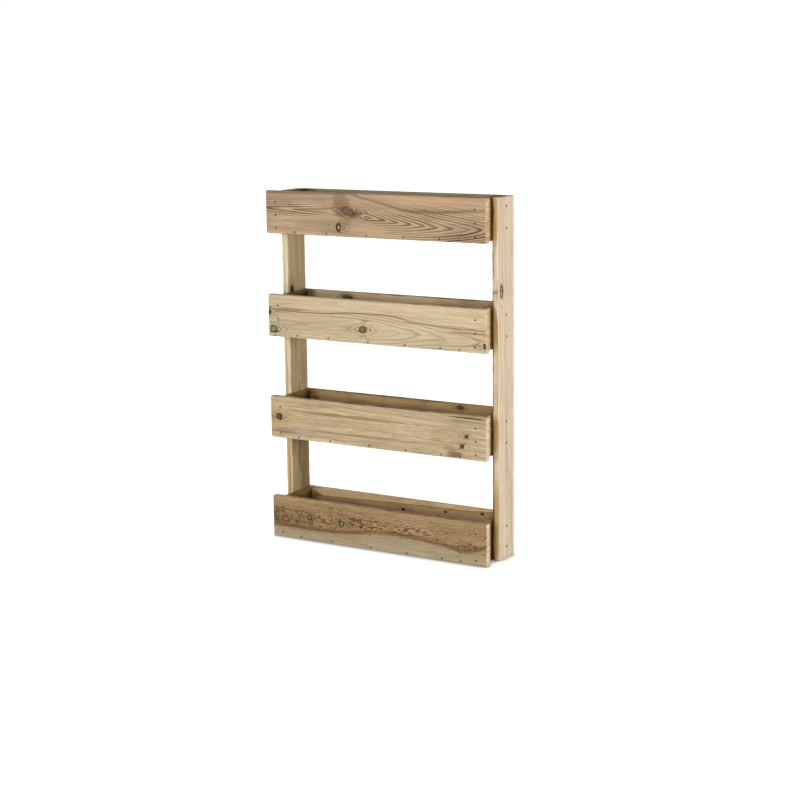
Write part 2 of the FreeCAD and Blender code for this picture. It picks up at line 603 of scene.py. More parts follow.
# A border parts two shades of wood, as heartwood and sapwood: the shade above it, its points in shares of the
# board's length and height, how far it waves, and a line along it with its colour, strength, place and width.
Border = namedtuple("Border", "shade points wave line strength offset width")

# Depth and reach of a patch: right through a board, on its inner face, or on the right post's inner arris
through_board = (0.0, 1000.0)
inner_face = (12.0, 12.0)
post_inner_arris = (-12.0, 8.0)

# A look has the screen colour of the early wood and of the sawn ends, the shade of the late wood against it,
# the strength of each marking, and places in millimetres from the board's starting end and lower edge.
# The rings' pith may lean, bend, wander and ripple. A low power makes pointed arches instead of round ones.
# Rings are bold as far from the pith as bold says, flank is their strength on the flanks of the arches, and
# curl is the fine share of their ripple. A dark ring of stain and painted shade of the sunk hole reaches as
# far round each nail as nail_mark says.
# Knots: along, up, radius, length over width, tilt in degrees, finish.
# Patches: along, up, half length, half height, colour, strength, then depth and reach if for one face only.
plain_look = dict(
    tone=(206, 183, 146), late=(0.50, 0.43, 0.35), contrast=0.85, streaks=0.60, threads=0.60, flecks=0.25,
    green=0.20, dirt=0.35, cracks=0.5, ends=(212, 186, 146), arris=0.12, pith=(300, 220, -60),
    lean=(0, -0.03, 0.02), lean_before=None, bend=(0, 0, 0), wander=24, ripple=10, curl=0.16, power=2.0,
    ring_width=4.5, late_start=0.35, bold=1000, flank=1.0, border=None, patches=(), knots=(), nails=(),
    nail_mark=4.5, seed=1.0)

# Painted shade: a dark line along each front board's top face, where little light falls.
painted_front_top_shade = (425, 146, 900, 3, (70, 54, 38), 0.85)
front_looks = {
    4: dict(
        tone=(203, 177, 146), late=(0.18, 0.13, 0.09), contrast=1.35, green=0.05, flecks=0.10, seed=4.0,
        pith=(352, 80, 11), lean=(0, -0.17, -0.118), lean_before=(0, -0.02, 0.041), bend=(0, 0.20, 0),
        wander=5, ripple=5, power=1.4, ring_width=5.8, late_start=0.2, bold=58, flank=0.35,
        ends=(206, 179, 140),
        border=Border((203, 175, 143), ((0.0, 1.0), (0.42, 1.0), (0.44, 0.94), (0.52, 0.85), (0.58, 0.77),
                                        (0.66, 0.68), (0.73, 0.67), (0.81, 0.69), (1.0, 0.76)),
                      1.0, (122, 96, 70), 0.55, -6.0, 9.0),
        patches=((300, 108, 38, 46, (150, 117, 88), 0.65), (318, 60, 30, 46, (158, 122, 90), 0.55),
                 (120, 5, 220, 9, (222, 190, 156), 0.6), (225, 42, 110, 24, (184, 164, 126), 0.5),
                 (620, 130, 180, 16, (214, 172, 140), 0.5), (780, 30, 110, 40, (172, 146, 118), 0.5),
                 (185, 94, 62, 5, (228, 200, 168), 0.85), (62, 72, 90, 40, (216, 188, 156), 0.5), painted_front_top_shade),
        knots=((334, 84, 11, 2.5, -24, "grey"), (294, 33, 10, 1.5, 90, "resin"))),
    3: dict(
        tone=(220, 202, 170), late=(0.36, 0.30, 0.22), contrast=0.85, green=0.20, seed=3.0,
        pith=(383, 49, -42), lean=(0, -0.03, -0.06), lean_before=(0, 0.0, 0.0), wander=6, ripple=9,
        power=1.6, ring_width=6.2, late_start=0.58, bold=66, flank=0.5, ends=(201, 181, 147),
        border=Border((222, 202, 170), ((0.0, 0.62), (0.22, 0.61), (0.47, 0.68), (0.62, 0.655), (0.655, 0.59),
                                        (0.77, 0.545), (0.89, 0.51), (1.0, 0.50)),
                      1.2, (140, 106, 74), 0.75, 0.0, 4.0),
        patches=((100, 95, 120, 3.5, (172, 126, 80), 0.8), (640, 20, 190, 22, (196, 186, 150), 0.4),
                 (790, 62, 110, 4, (160, 134, 100), 0.6), painted_front_top_shade),
        knots=((383, 48, 12, 1.2, 0, "brown"), (22, 26, 12, 1.15, -10, "green"), (2, 81, 9, 1.0, 0, "black"),
               (845, 25, 8, 0.8, 0, "dark"))),
    2: dict(
        tone=(224, 203, 169), late=(0.38, 0.32, 0.24), contrast=0.55, streaks=0.75, threads=0.85, green=0.15,
        flecks=0.40, seed=2.0, pith=(430, 230, -40), lean=(0, -0.045, 0.0), wander=16, ripple=13,
        ring_width=7.5, late_start=0.4, ends=(216, 198, 169),
        patches=((380, 70, 230, 26, (222, 188, 150), 0.5), (790, 122, 100, 28, (180, 166, 126), 0.65),
                 (728, 14, 36, 14, (140, 102, 62), 0.75), (712, 30, 30, 14, (158, 146, 106), 0.5),
                 (50, 80, 80, 50, (234, 202, 156), 0.8), (60, 28, 70, 12, (164, 148, 122), 0.55),
                 (200, 7, 210, 9, (250, 230, 194), 1.0), (40, 0, 11, 6, (48, 36, 25), 0.95),
                 (330, 98, 280, 7, (160, 130, 94), 0.6), (360, 38, 240, 5, (164, 134, 98), 0.5),
                 (725, 75, 110, 40, (202, 178, 142), 0.6), painted_front_top_shade,
                 # At the torn wane: a pale strip along the edge, and under it a painted shadow line.
                 (778, 147, 92, 9, (232, 208, 166), 0.9), (785, 137, 85, 2.8, (62, 48, 34), 0.9)),
        knots=((36, 75, 11, 1.1, 0, "dark"), (776, 77, 6, 1.1, 45, "split"),
               (759, 44, 7, 1.15, 40, "split"))),
    1: dict(
        tone=(195, 178, 148), late=(0.27, 0.21, 0.15), contrast=1.3, green=0.25, seed=1.0,
        pith=(430, 88, -12), lean=(0, -0.02, 0.02), lean_before=(0, 0.02, 0.0), wander=18, ripple=18,
        curl=0.9, ring_width=4.4, late_start=0.35, bold=36, ends=(230, 199, 163),
        border=Border((188, 157, 120), ((0.0, 0.27), (0.30, 0.28), (0.45, 0.36), (0.60, 0.41), (0.70, 0.38),
                                        (0.80, 0.33), (0.885, 0.28), (1.0, 0.43)),
                      3.0, (124, 92, 58), 0.65, 9.0, 11.0),
        patches=((60, 141, 260, 10, (214, 184, 134), 0.75), (70, 72, 150, 34, (122, 98, 68), 0.55),
                 (250, 82, 260, 22, (196, 158, 112), 0.5), (730, 96, 120, 20, (190, 154, 110), 0.5),
                 painted_front_top_shade),
        knots=((18, 80, 8.5, 1.0, 0, "green"), (153, 82, 9.5, 1.1, -20, "green"),
               (284, 76, 10, 1.15, -20, "green"), (764, 55, 10, 0.8, 20, "green"))),
}

# Painted shade: a dark line along a back board's top face, where little light falls.
painted_back_top_shade = (400, 146, 600, 4, (96, 78, 54), 0.75)
# Painted shade in the inner corners where a back board meets the end boards.
painted_corner_shade = ((22, 80, 42, 130, (112, 88, 48), 0.9, *inner_face),
                (778, 80, 42, 130, (130, 104, 62), 0.6, *inner_face))
back_looks = {
    4: dict(tone=(206, 194, 156), pith=(300, 300, -50), patches=painted_corner_shade, seed=14.0),
    3: dict(tone=(232, 208, 168), pith=(500, -120, -40), dirt=0.7, seed=13.0,
            patches=((120, 130, 110, 30, (232, 214, 174), 0.5), (700, 120, 200, 40, (178, 150, 112), 0.5),
                     *painted_corner_shade, painted_back_top_shade),
            knots=((190, 124, 9, 2.2, -15, "shadow"),)),
    2: dict(tone=(189, 158, 112), pith=(600, 20, -50), dirt=0.7, seed=12.0,
            patches=((300, 130, 300, 14, (218, 182, 130), 0.5), *painted_corner_shade, painted_back_top_shade),
            knots=((630, 133, 7, 1.8, 0, "shadow"),)),
    1: dict(tone=(193, 159, 124), pith=(400, 0, -50), dirt=0.8, seed=11.0,
            # The top of the inner face is lighter above a border that rises towards the right, with a darker
            # line below it.
            border=Border((224, 196, 146),
                          ((0.0, 0.80), (0.18, 0.83), (0.5, 0.885), (0.85, 0.925), (1.0, 0.98)),
                          2.0, (128, 98, 66), 0.4, -2.0, 4.0),
            patches=painted_corner_shade,
            knots=((402, 108, 4, 1.6, 0, "black"), (571, 119, 3.5, 1.4, 0, "black"),
                   (714, 129, 4, 1.5, 0, "black"))),
}

end_look = dict(tone=(168, 140, 98), late=(0.30, 0.25, 0.18), contrast=1.0, pith=(70, 220, -50),
                lean=(0, 0.05, 0.03), dirt=0.6, ring_width=8.0, ends=(140, 116, 84))
end_patches = {
    # Left end boards: painted shade over the whole inner face, deeper in its rear corner; the top edge keeps
    # about the board's tone.
    "left": ((72, 70, 800, 600, (124, 98, 58), 1.0, *inner_face),
             (140, 60, 55, 120, (66, 48, 25), 0.6, *inner_face),
             (72, 145, 200, 5, (168, 138, 92), 0.85)),
    "right": ((72, 143, 200, 6, (150, 128, 92), 0.85),),
}
right_end_tones = {1: (152, 122, 80), 2: (200, 164, 104), 3: (210, 170, 94), 4: (218, 176, 110)}
floor_look = dict(tone=(168, 142, 104), pith=(400, 70, -50), lean=(0, 0.02, 0.04))

post_looks = {
    "left": dict(
        tone=(190, 170, 132), late=(0.24, 0.21, 0.15), contrast=1.0, green=0.30, seed=21.0,
        pith=(956, 55, -28), lean=(0, 0.0, -0.011), wander=4, ripple=4, ring_width=6.0,
        late_start=0.3, bold=44,
        patches=((760, 109, 700, 6, (252, 230, 196), 0.95), (950, 109, 200, 6, (255, 245, 212), 0.95),
                 (120, 109, 300, 6, (230, 198, 148), 0.9),
                 (230, 30, 170, 44, (122, 100, 72), 0.75, *inner_face),
                 (600, 30, 130, 44, (156, 134, 98), 0.5, *inner_face)),
        knots=((853, 86, 9, 1.5, 0, "black"),)),
    "right": dict(
        tone=(232, 216, 192), late=(0.62, 0.50, 0.36), contrast=0.9, green=0.10, flecks=0.10, seed=22.0,
        pith=(600, 220, -50), lean=(0, 0.012, 0.0), ring_width=13.0, late_start=0.25, wander=10, ripple=7,
        # On the front edge, the darker yellow-brown patches beside each trough are painted shade with warm
        # bounced light.
        patches=((120, 108, 200, 4, (195, 165, 109), 0.9), (560, 108, 300, 4, (238, 219, 184), 0.75),
                 (425, 108, 85, 5, (208, 176, 116), 0.8), (775, 108, 85, 5, (203, 173, 116), 0.7),
                 (1128, 108, 85, 5, (228, 202, 146), 0.9),
                 (300, 97, 520, 7, (236, 230, 212), 0.7), (450, 57, 320, 1.8, (140, 104, 74), 0.7),
                 (700, 72, 520, 7, (232, 208, 186), 0.4),
                 (600, 108, 3000, 12, (96, 76, 48), 0.9, *post_inner_arris)),
        knots=((892, 88, 11, 1.9, 0, "worn"),)),
}

# The dark ring of stain and painted hole shade round a post's nails, and the numbers that the seeds of end
# and floor boards count from
post_nail_mark = 7.0
end_seed = 30.0
floor_seed = 40.0


# Wood and metal finishes

def new_material(name):
    """Start a material, and return it with its tree and its shader."""
    material = bpy.data.materials.new(name)
    material.use_nodes = True
    tree = material.node_tree
    return material, tree, tree.nodes["Principled BSDF"]


def object_place(tree):
    """Where a spot is on the planter."""
    return flow(tree, "ShaderNodeTexCoord", output="Object")


def bumped(shader, height, strength, distance):
    """Let a height stand out from the surface."""
    bump = flow(height.tree, "ShaderNodeBump", {"Height": height, "Strength": strength, "Distance": distance})
    feed(shader.inputs["Normal"], bump)


def nails_near(place, board, look):
    """Distance to the nearest of the board's own nail heads."""
    nearest = farthest_nail
    for nail in look["nails"]:
        inputs = {"Place": place, "Nail": board.inside(nail), "Nearest": nearest}
        nearest = use_group(nail_group, inputs)["Nearest"]
    return nearest


def knots_in(place, board, look):
    """Bend the grain round each knot, and return the knots with their finishes, and the rings' swelling."""
    found = []
    swell = 0.0
    for number, (along, up, radius, oval, tilt, finish) in enumerate(look["knots"]):
        knot = use_group(knot_group, {
            "Place": place, "Centre": board.place(along, up), "Radius": radius * mm, "Oval": oval,
            "Tilt": math.radians(-tilt), "Ragged": knot_finishes[finish].ragged, "Swell": swell,
            "Seed": look["seed"] + number})
        place = knot["Place"]
        swell = knot["Swell"]
        found.append((knot, knot_finishes[finish]))
    return place, found, swell


def rings_in(place, board, look, swell):
    """Growth rings as one board shows them."""
    return use_group(ring_group, {
        "Place": place, "Pith": board.place(*look["pith"]), "Lean": look["lean"],
        "Lean Before": look["lean_before"] or look["lean"], "Bend": look["bend"],
        "Wander": look["wander"] * mm, "Ripple": look["ripple"] * mm, "Curl": look["curl"],
        "Power": look["power"], "Ring Width": look["ring_width"] * mm, "Late Start": look["late_start"],
        "Bold Reach": look["bold"] * mm, "Flank": look["flank"], "Swell": swell, "Seed": look["seed"]})


def border_height(place, board, border):
    """Height of a wavy border through its points."""
    along = parts(place)[0]
    share = ramp(along, -board.half.x, board.half.x, smooth=False)
    line = add_node(share.tree, "ShaderNodeFloatCurve", {"Value": share})
    curve = line.mapping.curves[0]
    for spot, point in zip(curve.points, (border.points[0], border.points[-1])):
        spot.location = point
    for point in border.points[1:-1]:
        curve.points.new(*point)
    line.mapping.update()
    height = ramp(Flow(line.outputs[0]), 0.0, 1.0, -board.half.y, board.half.y, smooth=False)
    sway = border.wave * mm
    return height + pattern(joined(along, 0.0, 0.0), "border", border_seed, -sway, sway, smooth=False)


def shaded(place, board, look):
    """Early wood with its border between two shades, and its patches of other shades."""
    colour = paint(*look["tone"])
    border = look["border"]
    if border:
        above = parts(place)[1] - border_height(place, board, border)
        colour = mixed(ramp(above, *border_edge), colour, paint(*border.shade))
        away = abs(above - border.offset * mm)
        line = ramp(away, 0.0, border.width * mm, border.strength, 0.0)
        colour = mixed(line, colour, paint(*border.line))
    for number, (along, up, half_long, half_high, shade, strength, *face) in enumerate(look["patches"]):
        depth, half_deep = face or through_board
        patch = use_group(patch_group, {
            "Place": place, "Centre": board.place(along, up, depth),
            "Reach": (half_long * mm, half_high * mm, half_deep * mm), "Seed": look["seed"] + number})
        colour = mixed(patch["Amount"] * strength, colour, paint(*shade))
    return colour


def colour_knot(colour, knot, finish, blotches, speckle):
    """Paint one knot over the wood: a halo with fine rings, then its blotchy heart in a broken dark rim."""
    ratio, eye = knot["Ratio"], knot["Eye"]
    halo = ramp(ratio, halo_start, finish.halo_reach, finish.halo_strength, 0.0)
    colour = mixed(halo, colour, finish.halo)
    lines = ramp(calc("SINE", eye * eye_wave), eye_line_start, 1.0)
    lines = lines * ramp(eye, *eye_reach, eye_strength, 0.0)
    colour = mixed(lines * ramp(blotches, 0.0, 1.0, eye_faintest, 1.0), colour, finish.rim)
    heart = mixed((speckle + blotches) * heart_blotches, finish.heart, finish.rim)
    colour = mixed(ramp(ratio, *heart_edge, 1.0, 0.0), colour, heart)
    start = ramp(ratio, rim_start - 2 * finish.rim_width, rim_edge[0] - finish.rim_width)
    ring = start * ramp(ratio, *rim_edge, 1.0, 0.0)
    ring = ring * ramp(blotches, 0.0, rim_whole_level, rim_strength * (1 - finish.broken), rim_strength)
    colour = mixed(ring, colour, finish.rim)
    return mixed(knot["Split"] * finish.split, colour, finish.rim)


def sawn_end(look, late, dirt, blotches):
    """Colour of a board's sawn ends."""
    colour = tinted(paint(*look["ends"]), late, sawn_ring_strength, (*look["late"], 1.0))
    colour = tinted(colour, dirt, sawn_dirt_strength, tints["sawn dirt"])
    return tinted(colour, blotches, sawn_blotch_strength, tints["sawn blotches"])


def timber(name, board, changes):
    """Treated softwood for one board, sawn from its own place in its own trunk."""
    look = {**plain_look, **changes}
    seed = look["seed"]
    material, tree, shader = new_material(name)
    turned = {"Vector": object_place(tree), "Location": board.centre, "Rotation": board.turn.to_euler()}
    flat_place = flow(tree, "ShaderNodeMapping", turned, vector_type="TEXTURE")
    place, knots, swell = knots_in(flat_place, board, look)
    rings = rings_in(place, board, look, swell)
    fibres = use_group(fibre_group, {"Place": place, "Seed": seed})
    edges = use_group(edge_group, {"Place": flat_place, "Half Size": board.half, "Seed": seed})
    stain = use_group(stain_group, {"Place": place, "Seed": seed})
    blotches = pattern(flat_place, "blotches", seed)
    late = rings["Late Wood"] * look["contrast"]
    colour = shaded(place, board, look)
    colour = tinted(colour, rings["Band"], band_strength, tints["bands"])
    colour = tinted(colour, late, 1.0, (*look["late"], 1.0))
    marks = {"streaks": fibres["Streak"], "threads": fibres["Thread"], "flecks": fibres["Fleck"],
             "green": stain["Green"], "dirt": stain["Dirt"], "cracks": fibres["Crack"]}
    for mark, amount in marks.items():
        colour = tinted(colour, amount, look[mark], tints[mark])
    for knot, finish in knots:
        colour = colour_knot(colour, knot, finish, blotches, stain["Dirt"])
    colour = mixed(edges["End Grain"], colour, sawn_end(look, late, stain["Dirt"], blotches))
    colour = mixed(edges["Arris"] * look["arris"], colour, paint(*look["ends"]))
    height = rings["Late Wood"] * late_wood_height + fibres["Thread"] * thread_height
    height = height - fibres["Crack"] * crack_depth
    if look["nails"]:
        # A dark ring round each nail: iron stain, and painted shade of the sunk hole round the head.
        mark = ramp(nails_near(flat_place, board, look), nail_mark_core, look["nail_mark"] * mm, 1.0, 0.0)
        colour = tinted(colour, mark, nail_mark_strength, tints["nail stain and hole shade"])
        height = height - mark * nail_mark_depth
    roughness = fibres["Thread"] * thread_roughness - rings["Late Wood"] * late_wood_gloss + wood_roughness
    feed(shader.inputs["Base Color"], colour)
    feed(shader.inputs["Roughness"], roughness)
    feed(shader.inputs["Specular IOR Level"], wood_specular)
    bumped(shader, height, wood_bump, wood_bump_height)
    return material


def nail_steel():
    """Dull steel, browned with rust in patches, and dark as painted shade of a sunk head."""
    material, tree, shader = new_material("nail_steel")
    place = object_place(tree)
    rust = pattern(place, "rust", rust_seed)
    clean, rusty = [paint(*shade) for shade in steel_shades]
    feed(shader.inputs["Base Color"], mixed(rust, clean, rusty))
    feed(shader.inputs["Metallic"], ramp(rust, 0.0, 1.0, *steel_metallic))
    feed(shader.inputs["Roughness"], ramp(rust, 0.0, 1.0, *steel_roughness))
    bumped(shader, noise(place, "dents", dent_seed), dent_strength, dent_height)
    return material


# Geometry Nodes trees

def make_spread_group():
    """Spread a block's even rows so that the outer ones crowd into the rounded edge."""
    tree, given = new_group(
        "spread_rows", "GeometryNodeTree", dict(value="Share, Half Size, Edge Zone", count="Rows"),
        dict(value="Place"))
    share, zone = given["Share"], given["Edge Zone"]
    split = 1.0 - 2.0 * edge_rows / (given["Rows"] - 1.0)
    middle = ramp(abs(share), 0.0, split, 0.0, given["Half Size"] - zone, smooth=False)
    outer = ramp(abs(share), split, 1.0, 0.0, zone, smooth=False)
    return give(tree, {"Place": calc("SIGN", share) * (middle + outer)})


def wane_in(given, place, shares):
    """How much more than an arris the upper front edge has lost, raggedly, round the place of the wane."""
    reach = abs(parts(place)[0] - given["Wane Place"])
    ragged = pattern(place, "torn wane", given["Seed"], wane_least, 1.0, smooth=False)
    wane = ramp(reach, 0.0, given["Wane Length"], 1.0, 0.0) * ragged
    upper_front = ramp(shares[1], *wane_upwards) * ramp(shares[2], *wane_forwards)
    return wane * upper_front * given["Wane Depth"]


def finished(tree, geometry, material):
    """Real faces of one material, shaded smooth."""
    smooth = flow(tree, "GeometryNodeSetShadeSmooth", {"Geometry": geometry})
    real = flow(tree, "GeometryNodeRealizeInstances", {"Geometry": smooth})
    return flow(tree, "GeometryNodeSetMaterial", {"Geometry": real, "Material": material})


def make_board_tree(spread_group):
    """A planed board: a block with rounded arrises, a slightly wavy surface, a bow and an edge of wane."""
    tree, given = new_group(
        "planed_board", "GeometryNodeTree",
        dict(value="Half Length, Half Width, Half Thickness, Arris Radius, End Radius, Wave, Bow, "
                   "Wane Place, Wane Length, Wane Depth, Seed",
             count="Rows Along, Rows Across, Rows Through", vector="Place, Turn", material="Timber"),
        dict(geometry="Board"))
    counts = [given["Rows " + way] for way in ("Along", "Across", "Through")]
    halves = [given["Half " + way] for way in ("Length", "Width", "Thickness")]
    rows = dict(zip(("Vertices X", "Vertices Y", "Vertices Z"), counts))
    block = flow(tree, "GeometryNodeMeshCube", {"Size": (2, 2, 2), **rows}, "Mesh")
    shares = parts(flow(tree, "GeometryNodeInputPosition"))
    zone = given["Arris Radius"] * edge_zone_share
    spots = []
    for share, half, count in zip(shares, halves, counts):
        inputs = {"Share": share, "Half Size": half, "Edge Zone": zone, "Rows": count}
        spots.append(use_group(spread_group, inputs)["Place"])
    place = joined(*spots)
    corner = joined(spots[0], calc("SIGN", shares[1]), calc("SIGN", shares[2]))
    worn = pattern(corner, "arris radius", given["Seed"], *arris_spread, smooth=False)
    radius = given["Arris Radius"] * worn
    radius = least(radius + wane_in(given, place, shares), given["Half Thickness"] * most_rounding_share)
    radii = joined(given["End Radius"], radius, radius)
    inner = joined(*halves) - radii
    core = most(least(place, inner), inner * -1.0)
    outward = calc("NORMALIZE", (place - core) / radii)
    dip = pattern(place, "surface wave", given["Seed"], smooth=False) * given["Wave"]
    run = spots[0] / given["Half Length"]
    bow = given["Bow"] * (1.0 - run * run)
    moved = core + outward * radii - outward * dip + joined(0.0, 0.0, bow)
    shaped = flow(tree, "GeometryNodeSetPosition", {"Geometry": block, "Position": moved})
    turn = flow(tree, "FunctionNodeEulerToRotation", {0: given["Turn"]})
    inputs = {"Geometry": shaped, "Translation": given["Place"], "Rotation": turn}
    laid = flow(tree, "GeometryNodeTransform", inputs)
    return give(tree, {"Board": finished(tree, laid, given["Timber"])})


def by_index(tree, index, values):
    """Pick one of several values by a station's number."""
    switch = add_node(tree, "GeometryNodeIndexSwitch", data_type="FLOAT")
    while len(switch.index_switch_items) < len(values):
        switch.index_switch_items.new()
    feed(switch.inputs[0], index)
    for socket, value in zip(switch.inputs[1:], values):
        feed(socket, value)
    return Flow(switch.outputs[0])


def nail_shape(tree, given):
    """One nail along Z: a profile swept along its axis, with the head at the origin."""
    head, shank = given["Head Radius"], given["Shank Radius"]
    thick = given["Head Thickness"]
    depths = [thick * depth for depth, _ in nail_head_profile]
    depths += [thick * nail_neck_share, given["Length"] - given["Point Length"], given["Length"]]
    radii = [head * share for _, share in nail_head_profile]
    radii += [shank, shank, shank * nail_tip_share]
    index = flow(tree, "GeometryNodeInputIndex")
    line = flow(tree, "GeometryNodeMeshLine", {"Count": len(depths)})
    station = joined(0.0, 0.0, by_index(tree, index, depths))
    line = flow(tree, "GeometryNodeSetPosition", {"Geometry": line, "Position": station})
    axis = flow(tree, "GeometryNodeMeshToCurve", {"Mesh": line})
    ring = flow(tree, "GeometryNodeCurvePrimitiveCircle", {"Resolution": given["Sides"], "Radius": 1.0})
    swept = {"Curve": axis, "Profile Curve": ring, "Scale": by_index(tree, index, radii), "Fill Caps": True}
    return flow(tree, "GeometryNodeCurveToMesh", swept)


def make_nail_tree():
    """Round wire nails driven in at the given points, each a little askew."""
    tree, given = new_group(
        "driven_nails", "GeometryNodeTree",
        dict(geometry="Places", count="Sides, Seed", material="Steel",
             value="Head Radius, Head Thickness, Shank Radius, Length, Point Length, Tilt"),
        dict(geometry="Nails"))
    points = flow(tree, "GeometryNodeMeshToPoints", {"Mesh": given["Places"]})
    inward = flow(tree, "GeometryNodeInputNamedAttribute", {"Name": "inward"}, data_type="FLOAT_VECTOR")
    aligned = flow(tree, "FunctionNodeAlignRotationToVector", {"Vector": inward}, axis="Z")
    tilt = joined(given["Tilt"], given["Tilt"], given["Tilt"])
    spread = {0: tilt * -1.0, 1: tilt, "Seed": given["Seed"]}
    askew = flow(tree, "FunctionNodeRandomValue", spread, data_type="FLOAT_VECTOR")
    askew = flow(tree, "FunctionNodeEulerToRotation", {0: askew})
    turned = flow(tree, "FunctionNodeRotateRotation", {0: aligned, 1: askew})
    inputs = {"Points": points, "Instance": nail_shape(tree, given), "Rotation": turned}
    driven = flow(tree, "GeometryNodeInstanceOnPoints", inputs)
    return give(tree, {"Nails": finished(tree, driven, given["Steel"])})


def grow(name, tree, values, start=None):
    """Run a Geometry Nodes tree with these values and keep the result as a plain mesh object."""
    worker = bpy.data.objects.new(name + "_work", start or bpy.data.meshes.new(name + "_work"))
    bpy.context.scene.collection.objects.link(worker)
    modifier = worker.modifiers.new("grow", "NODES")
    modifier.node_group = tree
    for item in tree.interface.items_tree:
        if item.in_out == "INPUT" and item.name in values:
            modifier[item.identifier] = values[item.name]
    worker.update_tag()
    graph = bpy.context.evaluated_depsgraph_get()
    graph.update()
    mesh = bpy.data.meshes.new_from_object(worker.evaluated_get(graph), depsgraph=graph)
    mesh.name = name
    worker.modifiers.remove(modifier)
    bpy.data.objects.remove(worker)
    piece = bpy.data.objects.new(name, mesh)
    bpy.context.scene.collection.objects.link(piece)
    return piece


def keep(piece, node):
    """Let a finished piece stand for its solid."""
    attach(piece, "root")
    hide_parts(node)


# Nail sizes and places, worked out from the solids

post_low, post_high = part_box("right_post")
end_low, end_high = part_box("tier_1_right_end_board")
head_low, head_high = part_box("tier_1_floor_nails")
head_diameter = head_high.z - head_low.z
head_radius = head_diameter / 2
post_nail_length = post_high.x - post_low.x + post_nail_bite_share * (end_high.x - end_low.x)
nail_sizes = {
    "Head Radius": head_radius,
    "Head Thickness": head_thickness_share * head_diameter,
    "Shank Radius": shank_radius_share * head_diameter,
    "Point Length": nail_point_share * head_diameter,
    "Sides": nail_sides,
    "Tilt": nail_tilt,
}
drive_ways = {"front": along_y, "back": -along_y, "floor_front": along_y, "floor_back": -along_y,
              "left": along_x, "right": -along_x}


def tier_nails(tier):
    """Places of one trough's nails, by the way that they are driven."""
    front_low, front_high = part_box("tier_%d_front_board" % tier)
    floor_low, floor_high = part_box("tier_%d_floor_board" % tier)
    nail_low, nail_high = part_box("tier_%d_floor_nails" % tier)
    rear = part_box("tier_%d_back_board" % tier)[1].y
    end_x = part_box("tier_%d_wall_nails" % tier)[1].x - head_radius
    wall_height = front_high.z - front_low.z
    nail_height = (nail_low.z + nail_high.z) / 2
    post_middle = (post_low.y + post_high.y) / 2
    front_heights = [front_low.z + share * wall_height for share in front_nail_height_shares]
    back_heights = [front_low.z + share * wall_height for share in back_nail_height_shares]
    post_heights = [front_low.z + share * wall_height for share in post_nail_height_shares]
    runs = [floor_low.x + share * (floor_high.x - floor_low.x) for share in floor_nail_shares]
    places = {"front": [], "back": []}
    for name, side in sides.items():
        places["front"] += [(side * end_x, front_low.y, height) for height in front_heights]
        places["back"] += [(side * end_x, rear, height) for height in back_heights]
        places[name] = [(side * post_high.x, post_middle, height) for height in post_heights]
    places["floor_front"] = [(x, front_low.y, nail_height) for x in runs]
    places["floor_back"] = [(x, rear, nail_height) for x in runs]
    return places


nails = {tier: tier_nails(tier) for tier in tiers}


# Making the pieces

def drive(tier, node, groups, nail_length, tree, steel):
    """Drive the nails of one node."""
    mesh = bpy.data.meshes.new(node + "_places")
    places = []
    ways = []
    for group in groups:
        way = drive_ways[group]
        places += [Vector(place) - nail_stand * way for place in nails[tier][group]]
        ways += [way] * len(nails[tier][group])
    mesh.from_pydata(places, [], [])
    inward = mesh.attributes.new("inward", "FLOAT_VECTOR", "POINT")
    inward.data.foreach_set("vector", [value for way in ways for value in way])
    values = {**nail_sizes, "Length": nail_length, "Seed": tier, "Steel": steel}
    keep(grow(node.replace("nails", "driven_nails"), tree, values, mesh), node)


def lay(board, look, tree, wane=no_wane):
    """Make one planed board in place of its solid."""
    spacings = (row_spacing, row_spacing, row_spacing_through)
    rows = [2 * edge_rows + max(2, round(2 * half / spacing)) for half, spacing in zip(board.half, spacings)]
    values = {"Half Length": board.half.x, "Half Width": board.half.y, "Half Thickness": board.half.z,
              "Arris Radius": arris_radius, "End Radius": sawn_end_radius, "Rows Along": rows[0],
              "Rows Across": rows[1], "Rows Through": rows[2], "Wave": surface_wave, "Bow": board_bow,
              "Wane Place": wane[0], "Wane Length": wane[1], "Wane Depth": wane[2],
              "Seed": look["seed"], "Place": board.centre, "Turn": Vector(board.turn.to_euler()),
              "Timber": timber(board.node + "_timber", board, look)}
    keep(grow(board.node.replace("_board", "") + "_plank", tree, values), board.node)


def make_posts(tree):
    """Both posts."""
    for name in sides:
        own_nails = [nail for tier in tiers for nail in nails[tier][name]]
        look = {**post_looks[name], "nails": own_nails, "nail_mark": post_nail_mark}
        lay(Board(name + "_post", "post"), look, tree)


def make_trough(tier, board_tree, nail_tree, steel):
    """One trough's boards and nails."""
    prefix = "tier_%d_" % tier
    own = nails[tier]
    front = {**front_looks[tier], "nails": own["front"] + own["floor_front"]}
    back = {**back_looks[tier], "nails": own["back"] + own["floor_back"]}
    lay(Board(prefix + "front_board", "wall"), front, board_tree, wanes.get(tier, no_wane))
    lay(Board(prefix + "back_board", "wall"), back, board_tree)
    for number, name in enumerate(sides):
        board = Board(prefix + name + "_end_board", "end")
        board.plane_off(post_gap)
        tone = right_end_tones[tier] if name == "right" else end_look["tone"]
        seed = end_seed + 2 * tier + number
        look = {**end_look, "tone": tone, "patches": end_patches[name], "seed": seed}
        lay(board, look, board_tree)
    floor = Board(prefix + "floor_board", "floor")
    floor_timber = timber(prefix + "floor_timber", floor, {**floor_look, "seed": floor_seed + tier})
    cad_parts[floor.node].material_slots[0].material = floor_timber
    drive(tier, prefix + "wall_nails", ("front", "back"), wall_nail_length, nail_tree, steel)
    drive(tier, prefix + "floor_nails", ("floor_front", "floor_back"), wall_nail_length, nail_tree, steel)
    drive(tier, prefix + "post_nails", ("left", "right"), post_nail_length, nail_tree, steel)


# Floor, light and camera

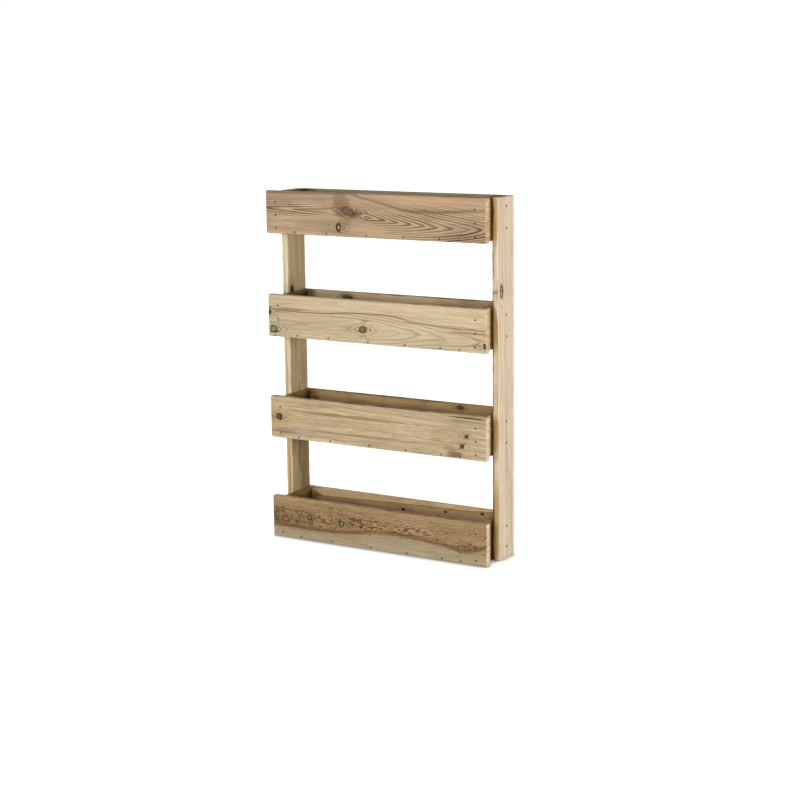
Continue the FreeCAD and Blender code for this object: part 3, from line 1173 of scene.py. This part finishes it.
def direction(azimuth, elevation):
    """A direction by its angles in degrees, counted from the planter's front to its right, and upwards."""
    turn, rise = math.radians(azimuth), math.radians(elevation)
    return Vector((math.sin(turn) * math.cos(rise), -math.cos(turn) * math.cos(rise), math.sin(rise)))


def seen_directly(tree):
    """One where a ray comes straight from the camera, a mirror or glass."""
    path = add_node(tree, "ShaderNodeLightPath").outputs
    camera, mirror, glass = [Flow(path["Is %s Ray" % kind]) for kind in ("Camera", "Glossy", "Transmission")]
    return most(most(camera, mirror), glass)


def studio_floor():
    """A pale floor that looks white and still takes the planter's shadow."""
    material, tree, shader = new_material("studio_floor")
    feed(shader.inputs["Base Color"], floor_tone)
    feed(shader.inputs["Roughness"], floor_roughness)
    feed(shader.inputs["Specular IOR Level"], 0.0)
    away = length(object_place(tree))
    white = ramp(away, floor_white_start, floor_white_end, floor_white_share, 1.0)
    near = {"Distance": floor_shade_reach}
    open_sky = flow(tree, "ShaderNodeAmbientOcclusion", near, "AO", samples=floor_shade_samples)
    strength = ramp(open_sky, floor_shade_start, 1.0, floor_glow * floor_shade, floor_glow)
    glow = flow(tree, "ShaderNodeEmission", {"Color": (1, 1, 1, 1), "Strength": strength})
    layers = {0: seen_directly(tree) * white, 1: Flow(shader.outputs[0]), 2: glow}
    feed(tree.nodes["Material Output"].inputs["Surface"], flow(tree, "ShaderNodeMixShader", layers))
    mesh = bpy.data.meshes.new("studio_floor")
    corners = [(x * floor_half, y * floor_half, 0) for x, y in ((-1, -1), (1, -1), (1, 1), (-1, 1))]
    mesh.from_pydata(corners, [], [(0, 1, 2, 3)])
    mesh.materials.append(material)
    floor = bpy.data.objects.new("studio_floor", mesh)
    bpy.context.scene.collection.objects.link(floor)


def soft_light(name, azimuth, elevation, distance, size, power):
    """A square soft box that faces the middle of the planter."""
    away = direction(azimuth, elevation)
    lamp = bpy.data.lights.new(name, "AREA")
    lamp.shape = "SQUARE"
    lamp.size = size
    lamp.energy = power
    light = bpy.data.objects.new(name, lamp)
    light.location = Vector((0, 0, lit_height)) + distance * away
    light.rotation_euler = away.to_track_quat("Z", "Y").to_euler()
    bpy.context.scene.collection.objects.link(light)


def studio_world():
    """White to the camera, and a dimmer even light on the planter."""
    world = bpy.data.worlds.new("studio_world")
    bpy.context.scene.world = world
    world.use_nodes = True
    sky = world.node_tree.nodes["Background"]
    direct = seen_directly(world.node_tree)
    feed(sky.inputs["Color"], (1, 1, 1, 1))
    feed(sky.inputs["Strength"], ramp(direct, 0.0, 1.0, sky_light, 1.0, smooth=False))


def photo_camera():
    """The camera of the photograph."""
    yaw, roll = math.radians(camera_yaw), math.radians(camera_roll)
    back = direction(camera_yaw, camera_pitch)
    level = Vector((math.cos(yaw), math.sin(yaw), 0))
    upright = back.cross(level)
    right = math.cos(roll) * level + math.sin(roll) * upright
    up = back.cross(right)
    lens = bpy.data.cameras.new("photo_camera")
    lens.sensor_width = sensor_width_mm
    lens.lens = focal_pixels / frame_pixels * sensor_width_mm
    lens.clip_end = farthest_seen
    camera = bpy.data.objects.new("photo_camera", lens)
    pose = Matrix((right, up, back)).transposed().to_4x4()
    pose.translation = Vector(camera_place)
    camera.matrix_world = pose
    bpy.context.scene.collection.objects.link(camera)
    bpy.context.scene.camera = camera


planed_board = make_board_tree(make_spread_group())
driven_nails = make_nail_tree()
steel = nail_steel()
make_posts(planed_board)
for tier in tiers:
    make_trough(tier, planed_board, driven_nails, steel)
studio_floor()
soft_light("front_softbox", azimuth=16, elevation=10, distance=4.5, size=1.8, power=172)
soft_light("side_softbox", azimuth=103, elevation=5, distance=3.6, size=0.6, power=76)
soft_light("back_softbox", azimuth=230, elevation=20, distance=4.5, size=1.8, power=90)
studio_world()
photo_camera()
bpy.context.scene.view_settings.view_transform = "Standard"
